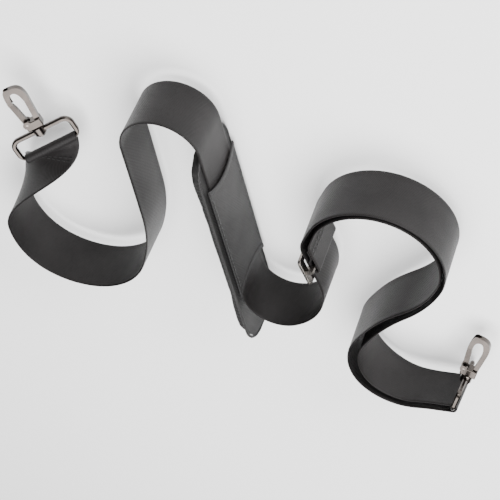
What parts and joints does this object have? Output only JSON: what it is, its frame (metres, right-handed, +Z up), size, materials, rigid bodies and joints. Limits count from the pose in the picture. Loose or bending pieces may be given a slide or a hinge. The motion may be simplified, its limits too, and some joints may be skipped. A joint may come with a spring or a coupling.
{
  "type": "saxophone neck strap",
  "caption": "Adjustable padded webbing strap, laid on edge in a serpentine, with a sliding pad, a length slider and a swivel snap hook at each end.",
  "frame": {"origin": "middle of the bounding box's underside, on the surface the strap stands on", "axes": "+Z up; the strap's serpentine runs mainly along X; -Y is the front"},
  "size_m": [0.4796, 0.2631, 0.0697],
  "materials": {
    "webbing": "woven webbing with a low sheen",
    "thread": "black thread",
    "slider_metal": "bright plated",
    "dark_nickel": "smooth dark nickel",
    "rivet_metal": "polished",
    "gate_metal": "smooth dark nickel",
    "spring_steel": "drawn wire",
    "ribbed_fabric": "coarse diagonal ribs",
    "foam": "closed-cell foam",
    "pad_fabric": "fine twill",
    "piping": "corded edge",
    "sleeve_fabric": "fine twill",
    "hem_binding": "folded edge"
  },
  "bodies": {
    "strap": {"webbing": "webbing", "end_a_stitching": "thread", "slider_stitching": "thread"},
    "ring_a": {"swivel_ring_a": "dark_nickel"},
    "hook_a": {"hook_body_a": "dark_nickel", "swivel_post_a": "rivet_metal", "gate_pin_a": "rivet_metal", "gate_spring_a": "spring_steel"},
    "gate_a": {"hook_gate_a": "gate_metal"},
    "ring_b": {"swivel_ring_b": "dark_nickel"},
    "hook_b": {"hook_body_b": "dark_nickel", "swivel_post_b": "rivet_metal", "gate_pin_b": "rivet_metal", "gate_spring_b": "spring_steel"},
    "gate_b": {"hook_gate_b": "gate_metal"},
    "slider": {"slider": "slider_metal"},
    "pad": {"pad_back_cover": "ribbed_fabric", "pad_foam": "foam", "pad_front_cover": "pad_fabric", "pad_piping": "piping", "pad_sleeve": "sleeve_fabric", "pad_hems": "hem_binding", "pad_stitching": "thread"}
  },
  "joints": [
    {"name": "ring_a_swing", "type": "hinge", "parent": "strap", "child": "ring_a", "pos_m": [0.18887, -0.01055, 0.03049], "axis": [-0.6638, -0.5826, -0.4689], "range_deg": [-45, 90]},
    {"name": "hook_a_swivel", "type": "hinge", "parent": "ring_a", "child": "hook_a", "pos_m": [0.20533, -0.02883, 0.0299], "axis": [0.6689, -0.7429, -0.0239], "continuous": true},
    {"name": "gate_a_push", "type": "hinge", "parent": "hook_a", "child": "gate_a", "pos_m": [0.21326, -0.03078, 0.03218], "axis": [0.3345, 0.3296, -0.8829], "range_deg": [0, 26], "stiffness_Nm_per_rad": 0.02, "springref_deg": -11.46, "deforming": ["gate_spring_a"]},
    {"name": "ring_b_swing", "type": "hinge", "parent": "strap", "child": "ring_b", "pos_m": [-0.23203, 0.08896, 0.03593], "axis": [0.1403, -0.2753, 0.9511], "range_deg": [-100, 5]},
    {"name": "hook_b_swivel", "type": "hinge", "parent": "ring_b", "child": "hook_b", "pos_m": [-0.22997, 0.0655, 0.02883], "axis": [0.0838, -0.9538, -0.2885], "continuous": true},
    {"name": "gate_b_push", "type": "hinge", "parent": "hook_b", "child": "gate_b", "pos_m": [-0.22428, 0.05973, 0.02633], "axis": [-0.1403, 0.2753, -0.9511], "range_deg": [0, 26], "stiffness_Nm_per_rad": 0.02, "springref_deg": -11.46, "deforming": ["gate_spring_b"]},
    {"name": "slider_slide", "type": "slide", "parent": "strap", "child": "slider", "axis": [0.6018, -0.7986, 0], "range_m": [-0.004, 0.004]},
    {"name": "pad_slide", "type": "slide", "parent": "strap", "child": "pad", "axis": [-0.4384, 0.8988, 0], "range_m": [-0.005, 0.005]}
  ]
}
